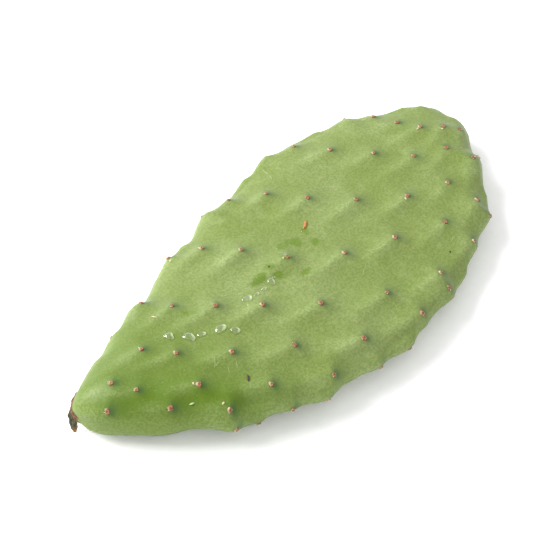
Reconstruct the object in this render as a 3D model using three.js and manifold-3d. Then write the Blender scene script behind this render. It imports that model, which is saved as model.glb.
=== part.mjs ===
// A prickly pear cactus pad (nopal), cut from its plant and lying on its flat side.
// Millimetres. +X runs from the cut base to the tip, +Z is up, the origin is under the middle of the pad.
//
// The pad is one grown piece: a thick thumb at the base that flattens into a broad blade. Its skin is lofted
// through sections across the length. Areoles, the small woolly cushions that spines grow from, follow the
// golden-angle spiral of the living plant round both faces, and each sits at the front of a low ridge.
// The dried tissue on the cut base is a second piece.

import * as THREE from "three";
import { mergeVertices } from "three/addons/utils/BufferGeometryUtils.js";
import Module from "manifold-3d";

const wasm = await Module();
wasm.setup();

// ---------------------------------------------------------------- driving dimensions, mm and degrees

const LENGTH = 240;

// Sizes at nine stations from base to tip. The stations stand above equal steps of a half circle drawn on the
// length, so they crowd at both ends, where a size that starts at nothing closes the pad roundly.
const MIDDLE = [13.5, 6, -2.5, -7, -5.5, 0.5, 3.5, 9.5, 19]; // middle of the section, towards +Y
const HALF_WIDTH = [0, 14.5, 29, 45.5, 54.5, 54, 39.5, 16, 0];
const RIM_HEIGHT = [10.5, 11.7, 12.2, 11.4, 10.5, 9.8, 10.5, 11.2, 11.5]; // rim above the ground
const UPPER_RISE = [0, 8.3, 10.2, 9.6, 8.8, 7.8, 6.8, 5, 0]; // crown of the upper face above the rim
const LOWER_DROP = [0, 9, 10.2, 9.5, 8.7, 8, 7.2, 5, 0]; // belly of the lower face below the rim
const SECTION_POWER = [0.9, 0.9, 0.9, 0.87, 0.86, 0.86, 0.87, 0.9, 1]; // 1 is an ellipse, less is fuller

// The spiral of areoles: areole n stands n golden angles round the section, from the +Y rim over the top
const FIRST_AREOLE = 14;
const LAST_AREOLE = 142;
const GOLDEN_ANGLE = 137.508;
const SPIRAL_START = 67.5;
const STATION_START = 8.5; // half-circle angle of areole 0 on the length
const STATION_STEP = 1.1;
const RIM_LAG = 12.5; // mm: areoles on the rims stand this much further on than those on the faces
const RIM_LAG_TURN = 7;
const FACE_SPREAD = 18; // flattening spreads the areoles over the faces and crowds them at the rims
const FACE_SPREAD_TURN = 10;
const ROW_SPREAD = 4; // and opens the two rows next to each rim
const ROW_SPREAD_TURN = -13;
const END_LAG = 5; // mm: areoles near either end stand this much further on than those of the middle
const TWIST = 8.5; // the spiral turns this much less per 60 areoles than the golden angle says
const MIDDLE_AREOLE = 78;
const TWIST_SPAN = 60;

// Every pad has some areoles that never grew, and none stands quite on the spiral
const MISSING_AREOLES = new Set([14, 18, 19, 22, 26, 31, 44, 124, 129, 136]);
const UNEVEN_ALONG = 2; // mm and degrees of seeded irregularity
const UNEVEN_ROUND = 3;
const END_CLEAR = 2.5; // no areole nearer to either end

// The ridge behind each areole: it falls away steeply towards the tip and slowly towards the base. The ridges of
// the rims are wider, and scallop the outline.
const FACE_RIDGE = { height: 2.3, tipHeight: 1.3, front: 4.5, back: 18, side: 6 };
const RIM_RIDGE = { height: 2.1, tipHeight: 1.9, front: 4, back: 11, side: 9 };
const RIDGE_SHARPNESS = 1.7; // power of the distance across: 2 is a round crest, less a sharper one
const RIDGE_LEAN = 12; // degrees that the ridges of the faces lean towards the spiral's rows
const RIDGE_UNEVEN = 0.2; // share of the height
const RIM_NORMAL = [0.3, 0.9]; // upward share of the normal, from a rim to a face
const FACE_NORMAL = [0, 0.6]; // a ridge reaches round the rim until the normals agree no more than this
const THUMB_LENGTH = 45; // ridges rise to their height over the thumb
const THUMB_SHARE = 0.6;

const AREOLE_SIDE = 1.75; // half sizes of an areole's cushion
const AREOLE_ALONG = 1.5;
const AREOLE_THICK = 1.3;
const AREOLE_SUNK = 0.7;
const AREOLE_SIDES = 5;
const AREOLE_RINGS = 4;

// The dried scar where the pad was cut off: a thin cap on the +Y corner of the base, with a curled flake
const SCAR_DIRECTION = new THREE.Vector3(-0.8, 0.6, 0);
const SCAR_CENTRE = new THREE.Vector3(3.5, 17, 8);
const SCAR_HALF_WIDTH = 7.5;
const SCAR_HALF_HEIGHT = 6;
const SCAR_RAGGED = 0.07; // share of the outline's radius
const SCAR_CORNERS = 26;
const SCAR_GAP = 0.3; // to the green skin
const SCAR_THICK = 0.9;
const SCAR_DEPTH = 10; // how far the outline is cut through the cap, either way
const FLAKE_PATH = [[3, 19, 11], [0, 17, 6], [-3, 13, 1.5]]; // root, bend and tip
const FLAKE_HALF_WIDTH = [0.8, 1.3, 2, 1.8, 0.5];
const FLAKE_HALF_THICK = [0.5, 0.5, 0.6, 0.5, 0.35];
const FLAKE_FACE = new THREE.Vector3(-0.5, -0.4, 0.75); // the way its broad side looks
const FLAKE_STEPS = 12;
const FLAKE_SIDES = 8;

const RINGS = 70; // sections of the mesh
const RING_POINTS = 54;
const RING_EVENNESS = 0.35; // 0 crowds the rings at the ends, more moves them to the middle
const TRACE_POINTS = 360; // points that measure the way round a section
const NORMAL_STEP = 0.004; // step in station and in turn that measures a normal
const END_STATION = 0.001; // nearest to either end that the step goes
const MERGE_WITHIN = 1e-4;

// ---------------------------------------------------------------- the smooth pad

const radians = THREE.MathUtils.degToRad;
const smoothstep = THREE.MathUtils.smoothstep;
const lerp = THREE.MathUtils.lerp;

// A smooth curve (Catmull-Rom) through values at equal steps, for t from 0 to 1
function through(values, t) {
  const last = values.length - 1;
  const place = THREE.MathUtils.clamp(t, 0, 1) * last;
  const i = Math.min(Math.floor(place), last - 1);
  const f = place - i;
  const before = i > 0 ? values[i - 1] : 2 * values[0] - values[1];
  const after = i + 2 <= last ? values[i + 2] : 2 * values[last] - values[last - 1];
  const [a, b] = [values[i], values[i + 1]];
  return 0.5 * (2 * a + (b - before) * f + (2 * before - 5 * a + 4 * b - after) * f * f
    + (3 * a - before - 3 * b + after) * f * f * f);
}

function signedPower(value, power) {
  return Math.sign(value) * Math.abs(value) ** power;
}

function stationAt(along) {
  return Math.acos(THREE.MathUtils.clamp(1 - 2 * along / LENGTH, -1, 1)) / Math.PI;
}

// A point of the section at station t, by the angle of its superellipse from the +Y rim over the top
function sectionPoint(t, angle) {
  const power = through(SECTION_POWER, t);
  const rise = signedPower(Math.sin(angle), power);
  return new THREE.Vector3(
    LENGTH * (1 - Math.cos(Math.PI * t)) / 2,
    through(MIDDLE, t) + through(HALF_WIDTH, t) * signedPower(Math.cos(angle), power),
    through(RIM_HEIGHT, t) + through(rise > 0 ? UPPER_RISE : LOWER_DROP, t) * rise,
  );
}

// Traces the section at station t and returns a function that gives its point at a fraction of the way round
function traceSection(t) {
  const points = [];
  const lengths = [0];
  for (let i = 0; i <= TRACE_POINTS; i++) {
    points.push(sectionPoint(t, 2 * Math.PI * i / TRACE_POINTS));
    if (i > 0) lengths.push(lengths[i - 1] + points[i].distanceTo(points[i - 1]));
  }
  return (turn) => {
    const target = (turn - Math.floor(turn)) * lengths[TRACE_POINTS];
    let i = 1;
    while (i < TRACE_POINTS && lengths[i] < target) i++;
    const f = (target - lengths[i - 1]) / (lengths[i] - lengths[i - 1]);
    return new THREE.Vector3().lerpVectors(points[i - 1], points[i], f);
  };
}

// The smooth skin at station t: a function that gives, at a fraction of the way round, the point, the outward
// normal and the tangent towards the tip
function skinAt(t) {
  const before = traceSection(Math.max(t - NORMAL_STEP, END_STATION));
  const here = traceSection(t);
  const after = traceSection(Math.min(t + NORMAL_STEP, 1 - END_STATION));
  return (turn) => {
    const round = here(turn + NORMAL_STEP).sub(here(turn - NORMAL_STEP));
    const forward = after(turn).sub(before(turn));
    const normal = new THREE.Vector3().crossVectors(round, forward).normalize();
    return { point: here(turn), normal, forward: forward.normalize() };
  };
}

// ---------------------------------------------------------------- areoles and their ridges

// Repeatable irregularity from -1 to 1
function uneven(n, salt) {
  const wave = Math.sin(n * 12.9898 + salt * 78.233) * 43758.5453;
  return 2 * (wave - Math.floor(wave)) - 1;
}

// A ridge's sizes, between those of the rims and those of the faces
function ridgeSizes(n, along, normal) {
  const toFace = smoothstep(Math.abs(normal.z), ...RIM_NORMAL);
  const size = (name) => lerp(RIM_RIDGE[name], FACE_RIDGE[name], toFace);
  const full = lerp(size("height"), size("tipHeight"), smoothstep(along, LENGTH / 2, LENGTH));
  const fromThumb = lerp(THUMB_SHARE, 1, smoothstep(along, 0, THUMB_LENGTH));
  const height = full * fromThumb * (1 + RIDGE_UNEVEN * uneven(n, 3));
  return { height, front: size("front"), back: size("back"), reach: size("side") };
}

function growAreole(n) {
  const turn = radians(SPIRAL_START + GOLDEN_ANGLE * n);
  const offMiddle = (n - MIDDLE_AREOLE) / TWIST_SPAN;
  const station = radians(STATION_START + STATION_STEP * n);
  const along = LENGTH * (1 - Math.cos(station)) / 2
    + RIM_LAG * Math.cos(2 * turn - radians(RIM_LAG_TURN))
    + END_LAG * offMiddle ** 2 + UNEVEN_ALONG * uneven(n, 1);
  const round = THREE.MathUtils.radToDeg(turn) - TWIST * offMiddle
    - FACE_SPREAD * Math.sin(2 * turn + radians(FACE_SPREAD_TURN))
    - ROW_SPREAD * Math.sin(4 * turn + radians(ROW_SPREAD_TURN)) + UNEVEN_ROUND * uneven(n, 2);
  if (MISSING_AREOLES.has(n) || along < END_CLEAR || along > LENGTH - END_CLEAR) return null;
  const { point, normal, forward } = skinAt(stationAt(along))(round / 360);
  const crest = forward.applyAxisAngle(normal, -radians(RIDGE_LEAN) * Math.abs(normal.z));
  const side = new THREE.Vector3().crossVectors(normal, crest);
  return { point, normal, crest, side, ...ridgeSizes(n, along, normal) };
}

function growAreoles() {
  const areoles = [];
  for (let n = FIRST_AREOLE; n <= LAST_AREOLE; n++) areoles.push(growAreole(n));
  return areoles.filter(Boolean);
}

// How far the ridges lift the skin at a point
function ridgeLift(point, normal, areoles) {
  let lift = 0;
  const away = new THREE.Vector3();
  for (const areole of areoles) {
    away.subVectors(point, areole.point);
    const along = away.dot(areole.crest);
    const across = Math.abs(away.dot(areole.side));
    const sameFace = smoothstep(normal.dot(areole.normal), ...FACE_NORMAL);
    const alongShare = along / (along > 0 ? areole.front : areole.back);
    const acrossShare = across / areole.reach;
    lift += areole.height * sameFace * Math.exp(-(alongShare ** 2) - acrossShare ** RIDGE_SHARPNESS);
  }
  return lift;
}

// ---------------------------------------------------------------- solids

function toManifold(geometry) {
  const bare = geometry.clone();
  bare.deleteAttribute("normal");
  bare.deleteAttribute("uv");
  const merged = mergeVertices(bare, MERGE_WITHIN);
  return new wasm.Manifold(new wasm.Mesh({
    numProp: 3,
    vertProperties: new Float32Array(merged.attributes.position.array),
    triVerts: new Uint32Array(merged.index.array),
  }));
}

function toGeometry(solid) {
  const { vertProperties, triVerts } = solid.getMesh();
  const geometry = new THREE.BufferGeometry();
  geometry.setAttribute("position", new THREE.BufferAttribute(new Float32Array(vertProperties), 3));
  geometry.setIndex(new THREE.BufferAttribute(new Uint32Array(triVerts), 1));
  return geometry;
}

// Closed skin, swollen outwards by an offset: rings of points between a pole at the base and one at the tip
function skinGeometry(areoles, offset = 0) {
  const positions = [...sectionPoint(0, 0).setX(-offset)];
  for (let ring = 1; ring <= RINGS; ring++) {
    const share = ring / (RINGS + 1);
    const skin = skinAt(share + RING_EVENNESS * Math.sin(2 * Math.PI * share) / (2 * Math.PI));
    for (let k = 0; k < RING_POINTS; k++) {
      const { point, normal } = skin(k / RING_POINTS);
      point.addScaledVector(normal, ridgeLift(point, normal, areoles) + offset);
      positions.push(...point);
    }
  }
  positions.push(...sectionPoint(1, 0).setX(LENGTH + offset));
  const vertex = (ring, k) => 1 + (ring - 1) * RING_POINTS + (k % RING_POINTS);
  const tip = 1 + RINGS * RING_POINTS;
  const faces = [];
  for (let k = 0; k < RING_POINTS; k++) {
    faces.push(0, vertex(1, k + 1), vertex(1, k));
    for (let ring = 1; ring < RINGS; ring++) {
      faces.push(vertex(ring, k), vertex(ring, k + 1), vertex(ring + 1, k));
      faces.push(vertex(ring, k + 1), vertex(ring + 1, k + 1), vertex(ring + 1, k));
    }
    faces.push(vertex(RINGS, k), vertex(RINGS, k + 1), tip);
  }
  const geometry = new THREE.BufferGeometry();
  geometry.setAttribute("position", new THREE.Float32BufferAttribute(positions, 3));
  geometry.setIndex(faces);
  return geometry;
}

// One areole's cushion, standing on top of its ridge
function cushionGeometry(areole) {
  const cushion = new THREE.SphereGeometry(1, AREOLE_SIDES, AREOLE_RINGS);
  cushion.rotateX(Math.PI / 2);
  cushion.scale(AREOLE_ALONG, AREOLE_SIDE, AREOLE_THICK);
  const place = new THREE.Matrix4().makeBasis(areole.crest, areole.side, areole.normal);
  place.setPosition(areole.point.clone().addScaledVector(areole.normal, areole.height - AREOLE_SUNK));
  return cushion.applyMatrix4(place);
}

// The green pad. Everything below the ground is cut off, which leaves flat spots on its lowest ridges.
function padSolid(areoles) {
  let solid = toManifold(skinGeometry(areoles));
  for (const areole of areoles) solid = solid.add(toManifold(cushionGeometry(areole)));
  const ground = new THREE.BoxGeometry(2 * LENGTH, 2 * LENGTH, LENGTH);
  ground.translate(LENGTH / 2, 0, -LENGTH / 2);
  return solid.subtract(toManifold(ground));
}

// The ragged outline of the scar, extruded through the corner of the base
function scarOutline() {
  const points = [];
  for (let i = 0; i < SCAR_CORNERS; i++) {
    const angle = 2 * Math.PI * i / SCAR_CORNERS;
    const radius = 1 + SCAR_RAGGED * uneven(i, 5);
    points.push(new THREE.Vector2(SCAR_HALF_WIDTH * radius * Math.cos(angle),
      SCAR_HALF_HEIGHT * radius * Math.sin(angle)));
  }
  const shape = new THREE.Shape(points);
  const outline = new THREE.ExtrudeGeometry(shape, { depth: 2 * SCAR_DEPTH, bevelEnabled: false });
  outline.translate(0, 0, -SCAR_DEPTH);
  const up = new THREE.Vector3(0, 0, 1);
  const across = new THREE.Vector3().crossVectors(up, SCAR_DIRECTION);
  const place = new THREE.Matrix4().makeBasis(across, up, SCAR_DIRECTION).setPosition(SCAR_CENTRE);
  return outline.applyMatrix4(place);
}

// A thin pointed flake of dried tissue, lofted along its path
function flakeGeometry() {
  const path = new THREE.CatmullRomCurve3(FLAKE_PATH.map((place) => new THREE.Vector3(...place)));
  const positions = [];
  const faces = [];
  const vertex = (step, side) => 1 + step * FLAKE_SIDES + (side % FLAKE_SIDES);
  positions.push(...path.getPoint(0));
  for (let step = 0; step <= FLAKE_STEPS; step++) {
    const t = step / FLAKE_STEPS;
    const tangent = path.getTangent(t);
    const wide = new THREE.Vector3().crossVectors(FLAKE_FACE, tangent).normalize();
    const thick = new THREE.Vector3().crossVectors(tangent, wide);
    for (let side = 0; side < FLAKE_SIDES; side++) {
      const angle = 2 * Math.PI * side / FLAKE_SIDES;
      const point = path.getPoint(t)
        .addScaledVector(wide, through(FLAKE_HALF_WIDTH, t) * Math.cos(angle))
        .addScaledVector(thick, through(FLAKE_HALF_THICK, t) * Math.sin(angle));
      positions.push(...point);
    }
  }
  positions.push(...path.getPoint(1));
  const end = 1 + (FLAKE_STEPS + 1) * FLAKE_SIDES;
  for (let side = 0; side < FLAKE_SIDES; side++) {
    faces.push(0, vertex(0, side + 1), vertex(0, side));
    for (let step = 0; step < FLAKE_STEPS; step++) {
      faces.push(vertex(step, side), vertex(step, side + 1), vertex(step + 1, side));
      faces.push(vertex(step, side + 1), vertex(step + 1, side + 1), vertex(step + 1, side));
    }
    faces.push(vertex(FLAKE_STEPS, side), vertex(FLAKE_STEPS, side + 1), end);
  }
  const geometry = new THREE.BufferGeometry();
  geometry.setAttribute("position", new THREE.Float32BufferAttribute(positions, 3));
  geometry.setIndex(faces);
  return geometry;
}

// The dried scar: a shell that follows the swollen skin inside its outline, with the flake hanging from it
function scarSolid(areoles) {
  const outer = toManifold(skinGeometry(areoles, SCAR_GAP + SCAR_THICK));
  const inner = toManifold(skinGeometry(areoles, SCAR_GAP));
  const cap = toManifold(scarOutline()).intersect(outer);
  return cap.add(toManifold(flakeGeometry())).subtract(inner);
}

// ---------------------------------------------------------------- the object

function part(name, solid, color, roughness) {
  const material = new THREE.MeshStandardMaterial({ color, roughness, metalness: 0 });
  const mesh = new THREE.Mesh(toGeometry(solid), material);
  mesh.name = name;
  return mesh;
}

const areoles = growAreoles();
const cactusPad = new THREE.Group();
cactusPad.add(part("pad", padSolid(areoles), 0x8fa85c, 0.6));
cactusPad.add(part("dried_scar", scarSolid(areoles), 0x6b4526, 0.85));

// The origin goes under the middle of the whole object
const box = new THREE.Box3().setFromObject(cactusPad);
const middle = box.getCenter(new THREE.Vector3());
for (const mesh of cactusPad.children) mesh.position.set(-middle.x, -middle.y, -box.min.z);

export default cactusPad;
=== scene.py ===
"""A cut prickly pear pad lying on its flat side: fine skin, areoles, dried scar, water drops and scraps.

The pad's form is the same formula as the CAD solid's, in metres, on a finer mesh. Areoles follow a
golden-angle spiral, each at the front of a low ridge. Everything rides on the one body, "root".
"""

import math

import bpy
import numpy as np
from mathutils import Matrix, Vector, noise
from mathutils.bvhtree import BVHTree


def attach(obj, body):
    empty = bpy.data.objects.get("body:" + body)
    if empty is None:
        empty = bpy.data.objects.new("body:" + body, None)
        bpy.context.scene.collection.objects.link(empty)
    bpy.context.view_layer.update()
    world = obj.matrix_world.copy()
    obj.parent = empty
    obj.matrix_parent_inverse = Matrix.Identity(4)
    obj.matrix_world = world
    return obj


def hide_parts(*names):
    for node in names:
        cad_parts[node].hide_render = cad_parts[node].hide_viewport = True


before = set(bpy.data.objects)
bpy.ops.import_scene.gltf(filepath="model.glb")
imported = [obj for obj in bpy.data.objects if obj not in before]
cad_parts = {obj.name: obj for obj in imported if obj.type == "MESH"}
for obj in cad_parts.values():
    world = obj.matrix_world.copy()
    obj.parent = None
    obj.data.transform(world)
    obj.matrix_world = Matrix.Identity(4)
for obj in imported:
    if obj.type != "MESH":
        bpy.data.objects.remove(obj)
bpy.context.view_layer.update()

MM = 0.001
rng = np.random.default_rng(7)
UP = np.array([0, 0, 1])

# ------------------------------------------------ the pad's own measures, as in the CAD source

# Where the pad's own frame (x from the cut base, y across) starts in the object's frame
ORIGIN = MM * np.array([-118.357, 2.658, 0])
LENGTH = 240 * MM
MIDDLE = MM * np.array([13.5, 6, -2.5, -7, -5.5, 0.5, 3.5, 9.5, 19])
HALF_WIDTH = MM * np.array([0, 14.5, 29, 45.5, 54.5, 54, 39.5, 16, 0])
RIM_HEIGHT = MM * np.array([10.5, 11.7, 12.2, 11.4, 10.5, 9.8, 10.5, 11.2, 11.5])
UPPER_RISE = MM * np.array([0, 8.3, 10.2, 9.6, 8.8, 7.8, 6.8, 5, 0])
LOWER_DROP = MM * np.array([0, 9, 10.2, 9.5, 8.7, 8, 7.2, 5, 0])
SECTION_POWER = np.array([0.9, 0.9, 0.9, 0.87, 0.86, 0.86, 0.87, 0.9, 1])

FIRST_AREOLE, LAST_AREOLE = 14, 142
GOLDEN_ANGLE = 137.508
SPIRAL_START = 67.5
STATION_START, STATION_STEP = 8.5, 1.1
RIM_LAG, RIM_LAG_TURN = 12.5 * MM, 7
FACE_SPREAD, FACE_SPREAD_TURN = 18, 10
ROW_SPREAD, ROW_SPREAD_TURN = 4, -13
END_LAG = 5 * MM
TWIST, MIDDLE_AREOLE, TWIST_SPAN = 8.5, 78, 60
MISSING_AREOLES = {14, 18, 19, 22, 26, 31, 44, 124, 129, 136}
UNEVEN_ALONG, UNEVEN_ROUND = 2 * MM, 3
END_CLEAR = 2.5 * MM

FACE_RIDGE = dict(height=2.3 * MM, tip_height=1.3 * MM, front=4.5 * MM, back=18 * MM, side=6 * MM)
RIM_RIDGE = dict(height=2.1 * MM, tip_height=1.9 * MM, front=4 * MM, back=11 * MM, side=9 * MM)
RIDGE_SHARPNESS, RIDGE_LEAN, RIDGE_UNEVEN = 1.7, 12, 0.2
RIM_NORMAL, FACE_NORMAL = (0.3, 0.9), (0, 0.6)
THUMB_LENGTH, THUMB_SHARE = 45 * MM, 0.6

SCAR_DIRECTION = np.array([-0.8, 0.6, 0])
SCAR_CENTRE = MM * np.array([3.5, 17, 8])
SCAR_HALF_WIDTH, SCAR_HALF_HEIGHT = 7.5 * MM, 6 * MM
SCAR_RAGGED, SCAR_CORNERS = 0.07, 26
SCAR_GAP, SCAR_THICK = 0.3 * MM, 0.9 * MM
FLAKE_PATH = MM * np.array([[3, 19, 11], [0, 17, 6], [-3, 13, 1.5]])
FLAKE_HALF_WIDTH = MM * np.array([0.8, 1.3, 2, 1.8, 0.5])
FLAKE_HALF_THICK = MM * np.array([0.5, 0.5, 0.6, 0.5, 0.35])
FLAKE_FACE = np.array([-0.5, -0.4, 0.75])

# ------------------------------------------------ the smooth pad


def through(values, t):
    """A smooth curve (Catmull-Rom) through values at equal steps, for t from 0 to 1."""
    last = len(values) - 1
    place = np.clip(t, 0, 1) * last
    i = np.minimum(np.floor(place).astype(int), last - 1)
    f = place - i
    ends = np.concatenate([[2 * values[0] - values[1]], values, [2 * values[-1] - values[-2]]])
    before, a, b, after = ends[i], ends[i + 1], ends[i + 2], ends[i + 3]
    return 0.5 * (2 * a + (b - before) * f + (2 * before - 5 * a + 4 * b - after) * f * f
                  + (3 * a - before - 3 * b + after) * f ** 3)


def smoothstep(x, start, end):
    share = np.clip((x - start) / (end - start), 0, 1)
    return share * share * (3 - 2 * share)


def mix(a, b, share):
    return a + (b - a) * share


def section_point(t, angle):
    """Points of the sections at stations t, by their superellipse's angle from the +Y rim over the top."""
    power = through(SECTION_POWER, t)
    out = np.sign(np.cos(angle)) * np.abs(np.cos(angle)) ** power
    rise = np.sign(np.sin(angle)) * np.abs(np.sin(angle)) ** power
    depth = np.where(rise > 0, through(UPPER_RISE, t), through(LOWER_DROP, t))
    return np.stack([
        LENGTH * (1 - np.cos(np.pi * t)) / 2 + 0 * angle,
        through(MIDDLE, t) + through(HALF_WIDTH, t) * out,
        through(RIM_HEIGHT, t) + depth * rise,
    ], -1)


TRACE = np.linspace(0, 2 * np.pi, 361)


def section_at(t, turn):
    """Points at stations t (m) and fractions of the way round their sections (m, k)."""
    traced = section_point(t[:, None], TRACE[None, :])
    steps = np.linalg.norm(np.diff(traced, axis=1), axis=2)
    way = np.concatenate([np.zeros((len(t), 1)), np.cumsum(steps, 1)], 1)
    points = np.empty(turn.shape + (3,))
    for row in range(len(t)):
        for axis in range(3):
            points[row, :, axis] = np.interp((turn[row] % 1) * way[row, -1], way[row], traced[row, :, axis])
    return points


def skin_at(t, turn, step=0.004):
    """The smooth skin: points, outward normals and tangents towards the tip."""
    around = section_at(t, turn + step) - section_at(t, turn - step)
    forward = section_at(np.minimum(t + step, 0.999), turn) - section_at(np.maximum(t - step, 0.001), turn)
    normal = np.cross(around, forward)
    normal /= np.linalg.norm(normal, axis=-1, keepdims=True)
    forward /= np.linalg.norm(forward, axis=-1, keepdims=True)
    return section_at(t, turn), normal, forward


def uneven(n, salt):
    """Repeatable irregularity from -1 to 1."""
    wave = math.sin(n * 12.9898 + salt * 78.233) * 43758.5453
    return 2 * (wave - math.floor(wave)) - 1


# ------------------------------------------------ areoles and their ridges


class Areole:
    """One woolly cushion and the ridge behind it."""

    def __init__(self, n):
        turn = math.radians(SPIRAL_START + GOLDEN_ANGLE * n)
        off_middle = (n - MIDDLE_AREOLE) / TWIST_SPAN
        station = math.radians(STATION_START + STATION_STEP * n)
        self.n = n
        self.along = (LENGTH * (1 - math.cos(station)) / 2
                      + RIM_LAG * math.cos(2 * turn - math.radians(RIM_LAG_TURN))
                      + END_LAG * off_middle ** 2 + UNEVEN_ALONG * uneven(n, 1))
        around = (math.degrees(turn) - TWIST * off_middle
                  - FACE_SPREAD * math.sin(2 * turn + math.radians(FACE_SPREAD_TURN))
                  - ROW_SPREAD * math.sin(4 * turn + math.radians(ROW_SPREAD_TURN))
                  + UNEVEN_ROUND * uneven(n, 2))
        self.grows = n not in MISSING_AREOLES and END_CLEAR <= self.along <= LENGTH - END_CLEAR
        if self.grows:
            t = np.array([math.acos(1 - 2 * self.along / LENGTH) / math.pi])
            point, normal, forward = skin_at(t, np.array([[around / 360]]))
            self.point, self.normal = point[0, 0], normal[0, 0]
            lean = math.radians(RIDGE_LEAN) * abs(self.normal[2])
            side = np.cross(self.normal, forward[0, 0])
            self.crest = forward[0, 0] * math.cos(lean) - side * math.sin(lean)
            self.side = np.cross(self.normal, self.crest)
            self.size_ridge()

    def size_ridge(self):
        """The ridge's sizes, between those of the rims and those of the faces."""
        to_face = smoothstep(abs(self.normal[2]), *RIM_NORMAL)
        size = {name: mix(RIM_RIDGE[name], FACE_RIDGE[name], to_face) for name in FACE_RIDGE}
        full = mix(size["height"], size["tip_height"], smoothstep(self.along, LENGTH / 2, LENGTH))
        from_thumb = mix(THUMB_SHARE, 1, smoothstep(self.along, 0, THUMB_LENGTH))
        self.height = full * from_thumb * (1 + RIDGE_UNEVEN * uneven(self.n, 3))
        self.front, self.back, self.reach = size["front"], size["back"], size["side"]

    def local(self, points):
        """How far points lie along, across and out from the areole."""
        away = points - self.point
        return away @ self.crest, away @ self.side, away @ self.normal

    def same_face(self, normals):
        return smoothstep(normals @ self.normal, *FACE_NORMAL)


areoles = [areole for areole in map(Areole, range(FIRST_AREOLE, LAST_AREOLE + 1)) if areole.grows]


def ridge_lift(points, normals):
    """How far the ridges lift the skin, as in the CAD source."""
    lift = np.zeros(points.shape[:-1])
    for areole in areoles:
        along, across, _ = areole.local(points)
        reach = (along / np.where(along > 0, areole.front, areole.back)) ** 2
        reach += np.abs(across / areole.reach) ** RIDGE_SHARPNESS
        lift += areole.height * areole.same_face(normals) * np.exp(-reach)
    return lift


# ------------------------------------------------ fine relief that only the render needs

CREST_HEIGHT, CREST_BACK, CREST_SIDE = 0.45 * MM, 17 * MM, 2.6 * MM
# The skin drops away just past an areole: how deep, how far in front of it, half length and half width
STEP_DEPTH, STEP_REACH, STEP_LONG, STEP_WIDE = 0.3 * MM, 2.2 * MM, 1.54 * MM, 2.2 * MM
SWELL_HEIGHT, SWELL_SIZE = 0.35 * MM, 42 * MM
DIMPLE_HEIGHT, DIMPLE_SIZE = 0.07 * MM, 7 * MM


def fine_relief(points, normals):
    """Sharper crests, a step in front of each areole, and soft unevenness."""
    relief = np.zeros(points.shape[:-1])
    for areole in areoles:
        along, across, _ = areole.local(points)
        share = areole.same_face(normals) * areole.height / FACE_RIDGE["height"]
        reach = np.where(along > 0, areole.front / 2, CREST_BACK)
        crest = np.exp(-(along / reach) ** 2 - (across / CREST_SIDE) ** 2)
        step = np.exp(-((along - STEP_REACH) / STEP_LONG) ** 2 - (across / STEP_WIDE) ** 2)
        relief += share * (CREST_HEIGHT * crest - STEP_DEPTH * step)
    flat = points.reshape(-1, 3)
    swell = np.array([noise.noise(Vector(p) / SWELL_SIZE) for p in flat])
    dimple = np.array([noise.noise(Vector(p) / DIMPLE_SIZE) for p in flat])
    return relief + (SWELL_HEIGHT * swell + DIMPLE_HEIGHT * dimple).reshape(relief.shape)


RING_EVENNESS = 0.35  # 0 crowds the rings at the ends, more moves them to the middle


def closed_skin(rings, ring_points):
    """Smooth skin points and normals, with a pole at each end left out."""
    share = np.arange(1, rings + 1) / (rings + 1)
    t = share + RING_EVENNESS * np.sin(2 * np.pi * share) / (2 * np.pi)
    turn = np.tile(np.arange(ring_points) / ring_points, (rings, 1))
    return skin_at(t, turn)


def ring_faces(rings, ring_points):
    """Quads between rings of points, and fans to a pole before the first and after the last."""
    faces = []
    for ring in range(rings - 1):
        a, b = 1 + ring * ring_points, 1 + (ring + 1) * ring_points
        for k in range(ring_points):
            after = (k + 1) % ring_points
            faces.append((a + k, a + after, b + after, b + k))
    last = 1 + (rings - 1) * ring_points
    for k in range(ring_points):
        after = (k + 1) % ring_points
        faces.append((0, 1 + after, 1 + k))
        faces.append((last + k, last + after, 1 + rings * ring_points))
    return faces


# ------------------------------------------------ pieces


def add_piece(name, points, faces, material):
    """A smooth-shaded mesh in the object's frame, with its material."""
    mesh = bpy.data.meshes.new(name)
    mesh.from_pydata([tuple(p) for p in points], [], [tuple(f) for f in faces])
    mesh.validate()
    mesh.polygons.foreach_set("use_smooth", [True] * len(mesh.polygons))
    mesh.materials.append(material)
    piece = bpy.data.objects.new(name, mesh)
    bpy.context.scene.collection.objects.link(piece)
    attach(piece, "root")
    return piece


def paint(piece, name, values):
    """A value at every point of the piece, for its material to read."""
    attribute = piece.data.attributes.new(name, "FLOAT", "POINT")
    attribute.data.foreach_set("value", np.ascontiguousarray(values, np.float32))


# ------------------------------------------------ materials


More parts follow.
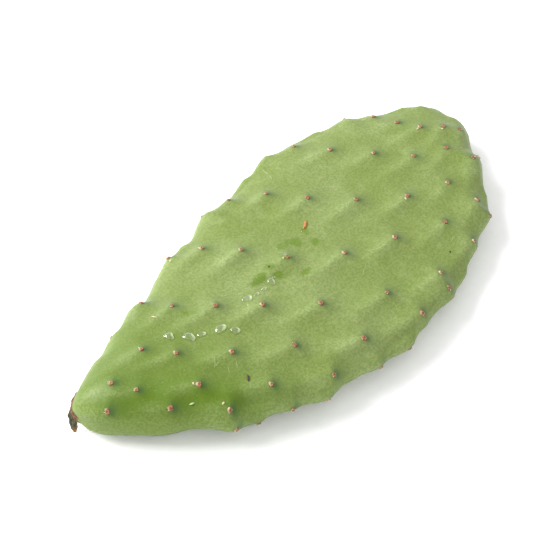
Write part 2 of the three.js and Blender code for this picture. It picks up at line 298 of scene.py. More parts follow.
class Shader:
    """A material's node tree, built by short calls."""

    def __init__(self, name):
        self.material = bpy.data.materials.new(name)
        self.material.use_nodes = True
        self.tree = self.material.node_tree
        self.surface = self.tree.nodes["Principled BSDF"]
        self.place = self.node("ShaderNodeTexCoord").outputs["Object"]

    def node(self, kind, **settings):
        made = self.tree.nodes.new(kind)
        for key, value in settings.items():
            setattr(made, key, value)
        return made

    def link(self, source, target):
        if isinstance(source, bpy.types.NodeSocket):
            self.tree.links.new(source, target)
        else:
            target.default_value = source

    def painted(self, name):
        """A value that the piece's points carry."""
        return self.node("ShaderNodeAttribute", attribute_name=name).outputs["Fac"]

    def noise(self, size, detail=3, roughness=0.5, place=None):
        """Noise whose lumps are about as wide as size, in metres."""
        made = self.node("ShaderNodeTexNoise")
        self.link(place or self.place, made.inputs["Vector"])
        made.inputs["Scale"].default_value = 1 / size
        made.inputs["Detail"].default_value = detail
        made.inputs["Roughness"].default_value = roughness
        return made.outputs["Fac"]

    def cells(self, size):
        """The distance from the middles of cells that are about as wide as size."""
        made = self.node("ShaderNodeTexVoronoi")
        self.link(self.place, made.inputs["Vector"])
        made.inputs["Scale"].default_value = 1 / size
        return made.outputs["Distance"]

    def stretch(self, scale):
        """The place on the piece, scaled along each axis."""
        made = self.node("ShaderNodeVectorMath", operation="MULTIPLY")
        self.link(self.place, made.inputs[0])
        made.inputs[1].default_value = scale
        return made.outputs[0]

    def math(self, operation, a, b=0.0, clamp=False):
        made = self.node("ShaderNodeMath", operation=operation, use_clamp=clamp)
        self.link(a, made.inputs[0])
        self.link(b, made.inputs[1])
        return made.outputs[0]

    def remap(self, value, low, high, new_low=0.0, new_high=1.0):
        """A smooth step from one value to another, as the input goes from low to high."""
        made = self.node("ShaderNodeMapRange", interpolation_type="SMOOTHSTEP")
        for socket, number in zip(("Value", "From Min", "From Max", "To Min", "To Max"),
                                  (value, low, high, new_low, new_high)):
            self.link(number, made.inputs[socket])
        return made.outputs["Result"]

    def blend(self, share, a, b):
        made = self.node("ShaderNodeMix", data_type="RGBA", blend_type="MIX")
        self.link(share, made.inputs["Factor"])
        self.link(a, made.inputs["A"])
        self.link(b, made.inputs["B"])
        return made.outputs["Result"]

    def bump(self, height, distance, strength=1.0, after=None):
        made = self.node("ShaderNodeBump")
        self.link(height, made.inputs["Height"])
        made.inputs["Distance"].default_value = distance
        made.inputs["Strength"].default_value = strength
        if after:
            self.link(after, made.inputs["Normal"])
        return made.outputs["Normal"]

    def set(self, **sockets):
        """Links or sets the surface shader's sockets, named with _ for a space."""
        for name, value in sockets.items():
            self.link(value, self.surface.inputs[name.replace("_", " ")])


def rgb(red, green, blue):
    """A colour given as it looks on screen, 0 to 255, made linear."""
    linear = [(c / 255) ** 2.2 for c in (red, green, blue)]
    return (*linear, 1)


def green_skin():
    """Waxy green: pale bloom in patches over the leaf colour, fine grain, pale flecks, painted wet patches
    and a yellower rim, the thumb's fresh green with painted shade on its low side, and painted shade and
    painted highlights at the areoles.
    """
    shader = Shader("green_skin")
    bloom = rgb(121, 134, 82)
    leaf = rgb(103, 118, 48)
    fresh_and_shade = rgb(78, 101, 0)
    # deep: the colour of the painted shade at the areoles
    deep = rgb(46, 78, 44)
    pale = rgb(156, 170, 120)
    broad = shader.noise(30 * MM, 3)
    middle = shader.noise(8 * MM, 4, 0.6)
    speckle = shader.noise(1.1 * MM, 2, 0.7)
    colour = shader.blend(shader.remap(broad, 0.35, 0.65, 0.15, 0.6), bloom, leaf)
    colour = shader.blend(shader.remap(middle, 0.46, 0.7, 0, 0.17), colour, pale)
    # the thumb's fresh green, and painted shade in the same green on its low side, away from the light
    colour = shader.blend(shader.painted("fresh_and_shade"), colour, fresh_and_shade)
    colour = shader.blend(shader.painted("margin"), colour, rgb(122, 140, 72))
    # painted shade: darker blue-green at the foot of each areole and in the hollow in front of it
    colour = shader.blend(shader.painted("shade"), colour, deep)
    # painted highlight: paler along the crest behind each areole
    colour = shader.blend(shader.painted("crest_highlight"), colour, pale)
    colour = shader.blend(shader.painted("rubbed"), colour, rgb(90, 114, 20))
    grain = shader.blend(shader.painted("fresh_and_shade"), rgb(82, 104, 44), rgb(70, 94, 0))
    colour = shader.blend(shader.remap(speckle, 0.38, 0.62, 0, 0.5), colour, grain)
    fleck = shader.remap(shader.cells(2.6 * MM), 0.08, 0.13, 0.18, 0)
    colour = shader.blend(fleck, colour, pale)
    roughness = shader.remap(shader.noise(5 * MM, 3), 0.3, 0.7, 0.44, 0.56)
    roughness = shader.math("SUBTRACT", roughness, shader.math("MULTIPLY", shader.painted("rubbed"), 0.16))
    normal = shader.bump(shader.noise(0.9 * MM, 2), 0.1 * MM, 0.9)
    normal = shader.bump(shader.noise(3.5 * MM, 3), 0.12 * MM, 0.6, normal)
    shader.set(Base_Color=colour, Roughness=roughness, Normal=normal)
    shader.surface.inputs["IOR"].default_value = 1.45
    shader.surface.inputs["Specular IOR Level"].default_value = 0.3
    shader.surface.inputs["Sheen Weight"].default_value = 0.06
    shader.surface.inputs["Sheen Roughness"].default_value = 0.5
    shader.surface.inputs["Subsurface Weight"].default_value = 0.12
    shader.surface.inputs["Subsurface Radius"].default_value = (0.35, 0.6, 0.15)
    shader.surface.inputs["Subsurface Scale"].default_value = 2.5 * MM
    return shader.material


def wool():
    """The felted cushion: pink-brown, darker in its pit and at its foot, cream where fresh wool stands."""
    shader = Shader("areole_wool")
    fibre = shader.noise(0.25 * MM, 3, 0.7)
    colour = shader.blend(shader.remap(shader.painted("rim"), 0.45, 1.0), rgb(162, 116, 80), rgb(84, 58, 34))
    colour = shader.blend(shader.remap(fibre, 0.4, 0.7, 0, 0.6), colour, rgb(156, 116, 74))
    blotch = shader.remap(shader.noise(0.9 * MM, 3, 0.7), 0.46, 0.6, 0, 0.75)
    colour = shader.blend(blotch, colour, rgb(92, 46, 34))
    colour = shader.blend(shader.painted("pit"), colour, rgb(94, 50, 30))
    colour = shader.blend(shader.painted("cream"), colour, rgb(186, 166, 140))
    normal = shader.bump(fibre, 0.12 * MM, 0.9)
    shader.set(Base_Color=colour, Roughness=shader.remap(fibre, 0.3, 0.7, 0.7, 0.95), Normal=normal)
    return shader.material


def hair_fibre():
    """Hairs between cream and red-brown, each by its painted tone."""
    shader = Shader("hair_fibre")
    fibre = shader.noise(0.2 * MM, 2, 0.6)
    colour = shader.blend(shader.painted("tone"), rgb(214, 192, 170), rgb(146, 88, 60))
    colour = shader.blend(shader.remap(fibre, 0.4, 0.7, 0, 0.4), colour, rgb(230, 214, 190))
    shader.set(Base_Color=colour, Roughness=shader.remap(fibre, 0.3, 0.7, 0.6, 0.9))
    return shader.material


def dried_tissue():
    """Corky brown tissue, darker and greyer down the flake."""
    shader = Shader("dried_tissue")
    grain = shader.noise(1.1 * MM, 5, 0.65, shader.stretch((1, 1, 0.25)))
    cork = shader.cells(0.8 * MM)
    colour = shader.blend(shader.remap(grain, 0.3, 0.7), rgb(72, 44, 26), rgb(132, 90, 58))
    colour = shader.blend(shader.painted("dark"), colour, shader.blend(
        shader.remap(grain, 0.35, 0.65), rgb(30, 30, 24), rgb(92, 90, 62)))
    colour = shader.blend(shader.painted("tip"), colour, rgb(150, 100, 50))
    normal = shader.bump(grain, 0.3 * MM, 0.9)
    normal = shader.bump(cork, 0.15 * MM, 0.6, normal)
    shader.set(Base_Color=colour, Roughness=shader.remap(grain, 0.3, 0.7, 0.7, 0.92), Normal=normal)
    return shader.material


def water():
    """Clear: it mirrors what stands round it at its edges, and carries a painted pale glow of gathered light
    on its far side.
    """
    shader = Shader("water")
    facing = shader.node("ShaderNodeLayerWeight").outputs["Facing"]
    far = shader.painted("far")
    full = shader.math("SUBTRACT", 1.0, shader.math("MULTIPLY", shader.painted("thin"), 0.85))
    mirrored = shader.math("MULTIPLY", shader.remap(facing, 0.2, 0.85, 0.06, 0.85), full)
    # the far side is painted a pale glow of gathered light, partly opaque and not a mirror
    shader.set(Base_Color=shader.blend(far, rgb(250, 252, 250), rgb(214, 228, 170)),
               Roughness=shader.math("MULTIPLY", far, 0.3),
               Metallic=shader.math("SUBTRACT", 1.0, far, True),
               Alpha=shader.math("ADD", mirrored, shader.math("MULTIPLY", far, 0.5), True))
    return shader.material


def scrap(name, dark, light):
    """A dry scrap of plant, with grain along it."""
    shader = Shader(name)
    grain = shader.noise(0.6 * MM, 4, 0.6)
    shader.set(Base_Color=shader.blend(shader.remap(grain, 0.3, 0.7), dark, light),
               Roughness=shader.remap(grain, 0.3, 0.7, 0.5, 0.8), Normal=shader.bump(grain, 0.1 * MM, 0.8))
    return shader.material


def floor_paper():
    """Matte near-white paper."""
    shader = Shader("floor_paper")
    grain = shader.noise(4 * MM, 3)
    shade = shader.remap(grain, 0.3, 0.7)
    shader.set(Base_Color=shader.blend(shade, (0.92, 0.92, 0.92, 1), (0.94, 0.94, 0.94, 1)),
               Roughness=shader.remap(grain, 0.3, 0.7, 0.8, 0.9))
    return shader.material


# ------------------------------------------------ the green pad

RINGS, RING_POINTS = ((330, 300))

smooth_points, smooth_normals, _ = closed_skin(RINGS, RING_POINTS)
ridges = ridge_lift(smooth_points, smooth_normals)
relief = fine_relief(smooth_points, smooth_normals)
skin = smooth_points + smooth_normals * (ridges + relief)[..., None]
skin[..., 2] = np.maximum(skin[..., 2], 0)  # the lowest ridges are pressed flat on the ground
poles = section_point(np.array([0.0, 1.0]), np.array([0.0, 0.0]))
pad_points = np.concatenate([poles[:1], skin.reshape(-1, 3), poles[1:]]) + ORIGIN
pad = add_piece("pad_skin", pad_points, ring_faces(RINGS, RING_POINTS), green_skin())
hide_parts("pad")


def with_poles(values):
    """Values at the ring points, with the nearest ones' mean at the poles."""
    return np.concatenate([[values[0].mean()], values.reshape(-1), [values[-1].mean()]])


# Painted shade and painted highlight at each areole: strength, how far in front of it, half length and half
# width
FOOT_SHADE = (0.85, 1.4 * MM, 1.7 * MM, 2.1 * MM)
HOLLOW_SHADE = (0.1, 5 * MM, 5 * MM, 4.5 * MM)
CREST_HIGHLIGHT = (0.2, -7 * MM, 6 * MM, 2.6 * MM)
THUMB_FADE = (15 * MM, 88 * MM)  # the bright green of the thumb fades out between these lengths
# the low side's share is painted shade, in the thumb's darker green, where the pad faces away from the light
FRESH, LOW_SIDE_SHADE = 0.72, 0.8  # strength of the thumb's bright green, and what its low side adds
LOW_SIDE, UNDERSIDE = (-0.1, 0.5), (0.3, -0.6)  # parts of the normal that look towards -Y, and up
MARGIN_STRENGTH, MARGIN_NORMAL = 0.5, (0.35, 0.95)  # the yellower rim, by the upward part of the normal


def areole_spot(strength, forward, long, wide):
    """A soft spot at each areole."""
    total = np.zeros(smooth_points.shape[:-1])
    for areole in areoles:
        along, across, _ = areole.local(smooth_points)
        spot = np.exp(-(((along - forward) / long) ** 2 + (across / wide) ** 2))
        total += areole.same_face(smooth_normals) * spot
    return strength * np.clip(total, 0, 1)


across_part, up_part = smooth_normals[..., 1], smooth_normals[..., 2]
thumb = 1 - smoothstep(smooth_points[..., 0], *THUMB_FADE)
low_side = smoothstep(-across_part, *LOW_SIDE) + smoothstep(up_part, *UNDERSIDE)
margin = 1 - smoothstep(np.abs(up_part), *MARGIN_NORMAL)
# painted: the thumb's fresh green, and painted shade on its low side that faces away from the light
paint(pad, "fresh_and_shade", with_poles(np.clip(thumb * (FRESH + LOW_SIDE_SHADE * low_side), 0, 1)))
paint(pad, "margin", with_poles(MARGIN_STRENGTH * margin))
# painted shade at the foot of each areole and in the hollow in front of it
paint(pad, "shade", with_poles(np.clip(areole_spot(*FOOT_SHADE) + areole_spot(*HOLLOW_SHADE), 0, 1)))
# painted highlight along the crest behind each areole
paint(pad, "crest_highlight", with_poles(areole_spot(*CREST_HIGHLIGHT)))

# ------------------------------------------------ places on the skin, and forms that lie there

pad_tree = BVHTree.FromPolygons([Vector(p) for p in pad_points],
                                [tuple(face.vertices) for face in pad.data.polygons])
# A search for the skin starts this far outside a place, and goes this far
LOOK_FROM, LOOK_REACH = 8 * MM, 20 * MM
ABOVE_ALL = 100 * MM


def skin_under(place, up):
    """The fine skin straight under a place, against the direction up."""
    hit, _, _, _ = pad_tree.ray_cast(Vector(place + up * LOOK_FROM), Vector(-up), LOOK_REACH)
    return np.array(hit) if hit else place


def on_top(x, y):
    """The point of the upper skin at x, y millimetres, and the skin's normal there."""
    point, normal, _, _ = pad_tree.ray_cast(Vector((x * MM, y * MM, ABOVE_ALL)), Vector((0, 0, -1)))
    return np.array(point), np.array(normal)


def unit(vector):
    return vector / np.linalg.norm(vector)


DOME_ROOT = 0.3 * MM  # how deep the pole under a dome stands in the skin


def between(first, values, last):
    """A value for each point of some rings, between those of the two end points."""
    return np.concatenate([[first], values.ravel(), [last]])


class Cluster:
    """Many small closed forms, gathered into one piece, with the named values painted on their points."""

    def __init__(self, *painted):
        self.points, self.faces = [], []
        self.values = {name: [] for name in painted}

    def add(self, first, rings, last, **values):
        """Rings of points between two end points. A painted value is one number, or one for each point."""
        start = len(self.points)
        self.points.extend([first, *rings.reshape(-1, 3), last])
        self.faces.extend(tuple(start + i for i in face) for face in ring_faces(*rings.shape[:2]))
        for name, kept in self.values.items():
            kept.extend(np.broadcast_to(values[name], 2 + rings.shape[0] * rings.shape[1]))

    def add_dome(self, place, up, along, long, wide, rise, edge, rings=8, sides=24, **values):
        """A low dome that follows the skin, with height rise(share of radius, angle), outline edge(angle)."""
        across = np.cross(up, along)
        share = np.arange(1, rings + 1)[:, None] / rings
        angle = -2 * np.pi * np.arange(sides)[None, :] / sides
        reach = share * edge(angle)
        flat = place + (long * reach * np.cos(angle))[..., None] * along
        flat = flat + (wide * reach * np.sin(angle))[..., None] * across
        feet = np.array([skin_under(spot, up) for spot in flat.reshape(-1, 3)]).reshape(flat.shape)
        height = np.broadcast_to(rise(share, angle), reach.shape)
        foot = skin_under(place, up)
        top = foot + up * float(rise(0 * share, angle)[0, 0])
        self.add(top, feet + height[..., None] * up, foot - up * DOME_ROOT,
                 **{name: value(share, angle) for name, value in values.items()})

    def add_blade(self, path, wide_way, half_wide, half_thick, sides=8, curl=0.0, **values):
        """A tapering blade along a path, flat across wide_way, and curled by a share of its width."""
        rings = []
        tangents = np.gradient(path, axis=0)
        angle = 2 * np.pi * np.arange(sides)[:, None] / sides
        for place, tangent, wide, thick in zip(path, tangents, half_wide, half_thick):
            side = unit(np.cross(wide_way, tangent))
            out = np.cross(unit(tangent), side)
            rings.append(place + side * wide * np.cos(angle)
                         + out * (thick * np.sin(angle) + curl * wide * np.cos(angle) ** 2))
        rings = np.array(rings)
        self.add(rings[0].mean(0), rings, rings[-1].mean(0), **values)

    def piece(self, name, material, slot):
        made = add_piece(name, self.points, self.faces, material)
        for painted, kept in self.values.items():
            paint(made, painted, kept)
        return made


def level(vector, up):
    """A direction laid flat against the skin."""
    return unit(vector - up * (vector @ up))


def heading(degrees):
    """The direction on the ground, turned this far from +X."""
    angle = math.radians(degrees)
    return np.array([math.cos(angle), math.sin(angle), 0])


# ------------------------------------------------ water: drops, and films that darken the bloom


def strewn(count, centre, half_long, half_wide, turn):
    """Seeded places in a patch, in millimetres: roughly even along it, drawn freely across it."""
    for i in range(count):
        along = half_long * ((2 * i + 1) / count - 1 + rng.uniform(-0.5, 0.5) / count)
        across = half_wide * rng.uniform(-1, 1)
        yield np.array(centre) + along * heading(turn)[:2] + across * heading(turn + 90)[:2]


class Puddle:
    """A drop or a film: where it lies, its half sizes in millimetres, and which way it is drawn out."""

    def __init__(self, place, size, turn):
        self.x, self.y = place
        self.long = size * rng.uniform(0.55, 1)
        self.wide = self.long * rng.uniform(0.65, 0.95)
        self.turn = turn + rng.uniform(-40, 40)

    def outline(self, angle):
        return 0.14 * np.sin(2 * angle + self.x) + 0.1 * np.sin(3 * angle + self.y)


# Patches, in millimetres: how many, centre, half length, half width, turn in degrees, half length of the
# largest
DROP_PATCHES = [(5, (-61, 1), 18, 1, -38, 2.8), (4, (-27, 0), 10, 1, -5, 2.4), (6, (-28, 4), 12, 8, 0, 0.7)]
FILM_PATCHES = [(12, (-4, 3), 20, 9, 20, 3.6), (2, (-57, 12), 3, 1, -30, 2.4)]
DROP_STEEPNESS = 0.55  # height of a drop by its half width
FILM_HEIGHT = 0.09
DROP_FLATNESS, FILM_FLATNESS = 2, 6  # powers of the distance from the middle: a higher one is flatter on top
EDGE_SUNK = 0.06  # share of the height by which an outline stands under the skin
WETTED_ABOVE = 12 * MM  # films darken only the upper skin
WETTED = 0.85
LIGHT_LEAVES = -40  # degrees: the way in which the window's light crosses the pad


def puddles(patches):
    return [Puddle(place, size, turn) for *patch, turn, size in patches for place in strewn(*patch, turn)]


drops = puddles(DROP_PATCHES)
films = puddles(FILM_PATCHES)


def film_amount(points):
    """How much of a film of water lies over each point of the skin."""
    total = np.zeros(len(points))
    for film in films:
        away = points - MM * np.array([film.x, film.y, 0])
        u = away @ heading(film.turn) / (film.long * MM)
        v = away @ heading(film.turn + 90) / (film.wide * MM)
        edge = 1 + film.outline(np.arctan2(v, u))
        total = np.maximum(total, 1 - smoothstep(np.hypot(u, v) / edge, 0.75, 1.1))
    return total * (points[:, 2] > WETTED_ABOVE)


def far_side(share, angle, puddle):
    """The side of a drop away from the window, painted with a pale glow for the light which entered on its
    other side.
    """
    towards = np.cos(angle + math.radians(puddle.turn - LIGHT_LEAVES))
    return between(0, smoothstep(share * towards, 0.25, 0.75), 0)


def add_puddle(cluster, puddle, height, flatness, **values):
    place, up = on_top(puddle.x, puddle.y)
    cluster.add_dome(
        place, up, level(heading(puddle.turn), up), puddle.long * MM, puddle.wide * MM,
        lambda share, angle: height * MM * (np.sqrt(1 - share ** flatness) - EDGE_SUNK),
        lambda angle: 1 + puddle.outline(angle), rings=12, sides=36, **values)


def water_piece():
    cluster = Cluster("far", "thin")
    for drop in drops:
        add_puddle(cluster, drop, DROP_STEEPNESS * drop.wide, DROP_FLATNESS,
                   far=lambda share, angle: far_side(share, angle, drop), thin=lambda share, angle: 0)
    for film in films:
        add_puddle(cluster, film, FILM_HEIGHT, FILM_FLATNESS,
                   far=lambda share, angle: 0, thin=lambda share, angle: 1)
    cluster.piece("water_drops", water(), "water")


paint(pad, "rubbed", WETTED * film_amount(pad_points))
water_piece()

# ------------------------------------------------ areoles: felted cushions, cream tufts, bristles

CUSHION_SIDE, CUSHION_ALONG, CUSHION_RISE = 1.45 * MM, 1.05 * MM, 0.6 * MM
CUSHION_UNEVEN = 0.18  # share of a cushion's size
PIT_SIZE, PIT_STRENGTH = 0.3, 0.9  # share of the radius
TUFTS, BRISTLES = 5, 6
TUFT_LENGTH, BRISTLE_LENGTH = (0.45 * MM, 0.8 * MM), (0.4 * MM, 0.75 * MM)
TUFT_THICK, BRISTLE_THICK = 0.13 * MM, 0.05 * MM
TUFT_PLACE, BRISTLE_PLACE = 0.75, 0.35  # share of the radius at which they stand
HAIR_FOOT = 0.15 * MM  # height of their feet in the cushion
LOWEST_WOOL = 0.02 * MM


def cushion_rise(n):
    """The height of a cushion: a raised felted rim round a pit, its edge sunk into the skin."""
    def rise(share, angle):
        rim = 0.75 * (1 - share ** 3) + 0.35 * np.exp(-((share - 0.6) / 0.25) ** 2) - 0.5 * share ** 6
        lumps = 0.12 * np.sin(7 * angle + n) * np.sin(9 * share + 2 * n)
        return CUSHION_RISE * (rim + lumps * (1 - share))
    return rise


def cushion_edge(n):
    return lambda angle: 1 + 0.08 * np.sin(3 * angle + n) + 0.06 * np.sin(7 * angle + 2 * n)


def add_cushion(cluster, areole, size):
    """The felted cushion of one areole, with fresh cream wool on its side towards the base."""
    creamy = smoothstep(uneven(areole.n, 11), -0.6, 0.8)
    cluster.add_dome(
        areole.point + ORIGIN, areole.normal, areole.crest, CUSHION_ALONG * size, CUSHION_SIDE * size,
        cushion_rise(areole.n), cushion_edge(areole.n), rings=9, sides=18,
        rim=lambda share, angle: between(0, share + 0 * angle, 1),
        pit=lambda share, angle: between(
            PIT_STRENGTH, PIT_STRENGTH * np.exp(-(share / PIT_SIZE) ** 2) + 0 * angle, 0),
        cream=lambda share, angle: between(
            0, creamy * smoothstep(-share * np.cos(angle + 0.6), 0.2, 0.8), 0))


def hair(cluster, foot, direction, length, thick, bend, tone):
    """One short hair, thickest at its foot."""
    steps = np.linspace(0, 1, 4)[:, None]
    path = foot + direction * steps * length + bend * steps ** 2 * length
    taper = thick * (1 - 0.75 * steps[:, 0] ** 2)
    cluster.add_blade(path, np.cross(direction, bend) + 0.01, taper, taper, 4, tone=tone)


def add_hair(cluster, areole, size, tuft):
    """A cream tuft on the side towards the base, or a bristle anywhere round the cushion's middle."""
    spin = (math.pi + 1.1 * rng.uniform(-1, 1)) if tuft else 2 * math.pi * rng.random()
    out = areole.crest * math.cos(spin) + areole.side * math.sin(spin)
    place = (TUFT_PLACE if tuft else BRISTLE_PLACE) * CUSHION_ALONG * size
    foot = skin_under(areole.point + ORIGIN, areole.normal) + out * place + areole.normal * HAIR_FOOT
    direction = unit(areole.normal + out * rng.uniform(0.5, 1.1))
    length = rng.uniform(*(TUFT_LENGTH if tuft else BRISTLE_LENGTH))
    thick = TUFT_THICK if tuft else BRISTLE_THICK
    hair(cluster, foot, direction, length, thick, out * 0.3, 0.0 if tuft else rng.random())


def areole_pieces():
    cushions, hairs = Cluster("rim", "pit", "cream"), Cluster("tone")
    for areole in areoles:
        size = 1 + CUSHION_UNEVEN * uneven(areole.n, 7)
        add_cushion(cushions, areole, size)
        for k in range(TUFTS + BRISTLES):
            add_hair(hairs, areole, size, tuft=k < TUFTS)
    cushion_piece = cushions.piece("areole_cushions", wool(), "areole_wool")
    hair_piece = hairs.piece("areole_hairs", hair_fibre(), "areole_wool")
    for piece in (cushion_piece, hair_piece):
        for vertex in piece.data.vertices:
            vertex.co.z = max(vertex.co.z, LOWEST_WOOL)  # those underneath are pressed against the ground


areole_pieces()

# ------------------------------------------------ the dried scar and its flake


SCAR_ROOT = 0.25 * MM  # how deep the crust's edge stands in the skin
CRUST_SIZE = 2.2 * MM
FLAKE_TWIST, FLAKE_TEAR, FLAKE_THIN, FLAKE_CURL = 0.35 * MM, 0.35, 0.7, 0.25


def scar_edge(angle):
    """The scar's ragged radius, as in the CAD source."""
    corners = np.array([1 + SCAR_RAGGED * uneven(i % SCAR_CORNERS, 5) for i in range(SCAR_CORNERS + 1)])
    turns = (angle / (2 * np.pi)) % 1 * SCAR_CORNERS
    return np.interp(turns, np.arange(SCAR_CORNERS + 1), corners)


def add_crust(cluster, across, rings=22, sides=78):
    """A thin lumpy crust over the cut, darker where its lumps stand higher and towards its edge."""
    share = np.arange(1, rings + 1)[:, None] / rings
    angle = -2 * np.pi * np.arange(sides)[None, :] / sides
    reach = share * scar_edge(angle)
    flat = SCAR_CENTRE + (SCAR_HALF_WIDTH * reach * np.cos(angle))[..., None] * across
    flat = flat + (SCAR_HALF_HEIGHT * reach * np.sin(angle))[..., None] * UP
    feet = np.array([skin_under(spot + ORIGIN, SCAR_DIRECTION) for spot in flat.reshape(-1, 3)])
    crust = np.array([noise.fractal(Vector(p) / CRUST_SIZE, 0.7, 2.1, 4) for p in feet]).reshape(reach.shape)
    body = 1 - smoothstep(share, 0.86, 1.0)
    height = (SCAR_GAP + SCAR_THICK * (0.75 + 0.5 * crust)) * body - SCAR_ROOT * (1 - body)
    middle = skin_under(SCAR_CENTRE + ORIGIN, SCAR_DIRECTION)
    cluster.add(middle + SCAR_DIRECTION * (SCAR_GAP + SCAR_THICK),
                feet.reshape(flat.shape) + height[..., None] * SCAR_DIRECTION, middle - SCAR_DIRECTION * MM,
                dark=between(0.3, np.clip(0.25 + 0.8 * crust + 0.5 * (share - 0.6), 0, 0.8), 0), tip=0)


def add_flake(cluster, across, steps=40, sides=20):
    """The curled flake that hangs from the scar, nearly black, with a brown point."""
    t = np.linspace(0, 1, steps)
    path = np.stack([through(FLAKE_PATH[:, axis], t) for axis in range(3)], 1) + ORIGIN
    ragged = np.array([noise.noise(Vector((9 * x, 1.7, 0))) for x in t])
    twisted = np.array([noise.noise(Vector((5 * x, 7.3, 0))) for x in t])
    path = path + (FLAKE_TWIST * twisted)[:, None] * across
    wide = through(FLAKE_HALF_WIDTH, t) * (1 + FLAKE_TEAR * ragged)
    thick = FLAKE_THIN * through(FLAKE_HALF_THICK, t)
    cluster.add_blade(path, FLAKE_FACE, wide, thick, sides, FLAKE_CURL,
                      dark=between(0.6, np.repeat(0.6 + 0.4 * smoothstep(t, 0, 0.25), sides), 1),
                      tip=between(0, np.repeat(0.7 * smoothstep(t, 0.8, 1.0), sides), 1))


def scar_piece():
    cluster = Cluster("dark", "tip")
    across = np.cross(UP, SCAR_DIRECTION)
    add_crust(cluster, across)
    add_flake(cluster, across)
    piece = cluster.piece("scar_tissue", dried_tissue(), "dried_tissue")
    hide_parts("dried_scar")


scar_piece()

# ------------------------------------------------ dry scraps, dots and healed scratches

# Single slips: middle, length, half width and half thickness in millimetres, and turn in degrees
ORANGE = [((16, 13), 5.5, 0.75, 0.4, 30)]
DARK = [((-65, -28), 3.2, 0.45, 0.4, 50), ((-15, 6), 1, 0.4, 0.2, 45), ((49, -43), 1, 0.35, 0.2, 20)]
CREAM = [((-68, 22), 3, 0.3, 0.25, -75)]
PALE = [((33, 52), 5, 0.18, 0.06, -104), ((31, 47), 3, 0.15, 0.05, -110), ((-89, -20), 2.2, 0.8, 0.05, -30)]
CREAM_SHARE = 0.14  # of the areoles have a fallen cream slip beside them
SLIP_BACK, SLIP_ASIDE = 1.9 * MM, 0.8 * MM  # how far behind the areole it lies, and how far to either side
FALLEN_LENGTH, FALLEN_HALF_WIDTH, FALLEN_HALF_THICK = 1.3, 0.45, 0.28
SCRATCH_FIELDS = [(-68, -18, 6), (52, -30, 11), (16, -28, 14), (-28, 16, 14)]  # centre x, y and spread
SCRATCHES = 5  # in each field
SCRATCH_LENGTH, SCRATCH_HALF_WIDTH, SCRATCH_HALF_THICK = (1.5, 5), 0.08, 0.035
SCRATCH_TURN = (-80, 60)


def blade_on_skin(cluster, middle, length, half_wide, half_thick, turn, seed, steps=10):
    """A thin slip of plant that follows the skin, bowed a little and pointed at both ends."""
    t = np.linspace(0, 1, steps)
    bow = 0.12 * length * uneven(seed, 13)
    places = []
    for share in t:
        spot = np.array(middle) + length * (share - 0.5) * heading(turn)[:2]
        spot = spot + bow * math.sin(math.pi * share) * heading(turn + 90)[:2]
        point, up = on_top(*spot)
        places.append(point + up * 0.5 * half_thick * MM)
    taper = np.sin(np.pi * (0.06 + 0.88 * t)) ** 0.6
    ragged = 1 + 0.25 * np.array([noise.noise(Vector((5 * share, seed * 3.1, 0))) for share in t])
    cluster.add_blade(np.array(places), UP, half_wide * MM * taper * ragged, half_thick * MM * taper, 8, 0.08)


def fallen_slips():
    """Cream slips that lie against some areoles of the upper face, just behind them."""
    for areole in areoles:
        if areole.normal[2] > 0.5 and uneven(areole.n, 17) > 1 - 2 * CREAM_SHARE:
            aside = areole.side * SLIP_ASIDE * uneven(areole.n, 19)
            place = areole.point + ORIGIN - areole.crest * SLIP_BACK + aside
            turn = 90 * uneven(areole.n, 23)
            yield place[:2] / MM, FALLEN_LENGTH, FALLEN_HALF_WIDTH, FALLEN_HALF_THICK, turn


def scratches():
    """Fine healed scratches, in a few fields."""
    for x, y, spread in SCRATCH_FIELDS:
        for _ in range(SCRATCHES):
            middle = np.array([x, y]) + spread * rng.uniform(-1, 1, 2)
            length = rng.uniform(*SCRATCH_LENGTH)
            yield middle, length, SCRATCH_HALF_WIDTH, SCRATCH_HALF_THICK, rng.uniform(*SCRATCH_TURN)


def scrap_pieces():
    kinds = [
        ("orange_scrap", ORANGE, rgb(126, 76, 28), rgb(182, 128, 70)),
        ("dark_scraps", DARK, rgb(26, 16, 16), rgb(70, 48, 36)),
        ("cream_scraps", [*CREAM, *fallen_slips()], rgb(160, 140, 108), rgb(200, 186, 160)),
        ("healed_scratches", [*PALE, *scratches()], rgb(132, 148, 96), rgb(156, 166, 118)),
    ]
    for name, blades, dark, light in kinds:
        cluster = Cluster()
        for seed, blade in enumerate(blades):
            blade_on_skin(cluster, *blade, seed)
        cluster.piece(name, scrap(name, dark, light), "dry_scrap")


scrap_pieces()

# ------------------------------------------------ camera, light and floor

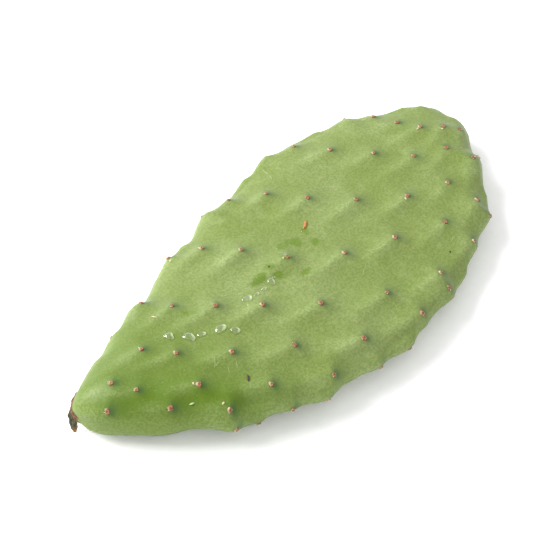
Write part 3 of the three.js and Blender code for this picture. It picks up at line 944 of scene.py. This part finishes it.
FLOOR = 3.0  # half size, metres
FLOOR_BELOW = 0.1 * MM  # clear of the pad's flat spots
CAMERA = Vector((-0.334, -0.288, 0.495))
TARGET = Vector((-0.003, 0.0105, 0))
LENS, SENSOR = 96.4, 36  # millimetres
SKY_STRENGTH = 0.88

floor_mesh = bpy.data.meshes.new("floor")
floor_mesh.from_pydata([(-FLOOR, -FLOOR, 0), (FLOOR, -FLOOR, 0), (FLOOR, FLOOR, 0), (-FLOOR, FLOOR, 0)], [],
                       [(0, 1, 2, 3)])
floor_mesh.materials.append(floor_paper())
floor = bpy.data.objects.new("floor", floor_mesh)
floor.location.z = -FLOOR_BELOW
bpy.context.scene.collection.objects.link(floor)


def aim(thing, target):
    thing.rotation_euler = (target - thing.location).to_track_quat("-Z", "Y").to_euler()


camera = bpy.data.objects.new("camera", bpy.data.cameras.new("camera"))
camera.data.lens = LENS
camera.data.sensor_width = SENSOR
camera.data.clip_start = 10 * MM
camera.location = CAMERA
aim(camera, TARGET)
bpy.context.scene.collection.objects.link(camera)
bpy.context.scene.camera = camera

view_right = camera.rotation_euler.to_matrix() @ Vector((1, 0, 0))
view_away = Vector((0, 0, 1)).cross(view_right)


def area_light(name, right, away, up, size, power):
    """A square soft light, placed as the camera sees it: to the right, away and up, in metres."""
    light = bpy.data.objects.new(name, bpy.data.lights.new(name, "AREA"))
    light.data.size = size
    light.data.energy = power
    light.location = TARGET + view_right * right + view_away * away + Vector((0, 0, up))
    aim(light, TARGET)
    bpy.context.scene.collection.objects.link(light)


area_light("key", -1.25, 0.35, 0.95, 1.2, 46)
area_light("fill", 0.4, -1.2, 0.9, 1.2, 7)
area_light("lamp", -0.9, 0.35, 1.0, 0.12, 4)

world = bpy.data.worlds.new("studio")
world.use_nodes = True
world.node_tree.nodes["Background"].inputs["Color"].default_value = (1, 1, 1, 1)
world.node_tree.nodes["Background"].inputs["Strength"].default_value = SKY_STRENGTH
bpy.context.scene.world = world
bpy.context.scene.view_settings.view_transform = "Standard"
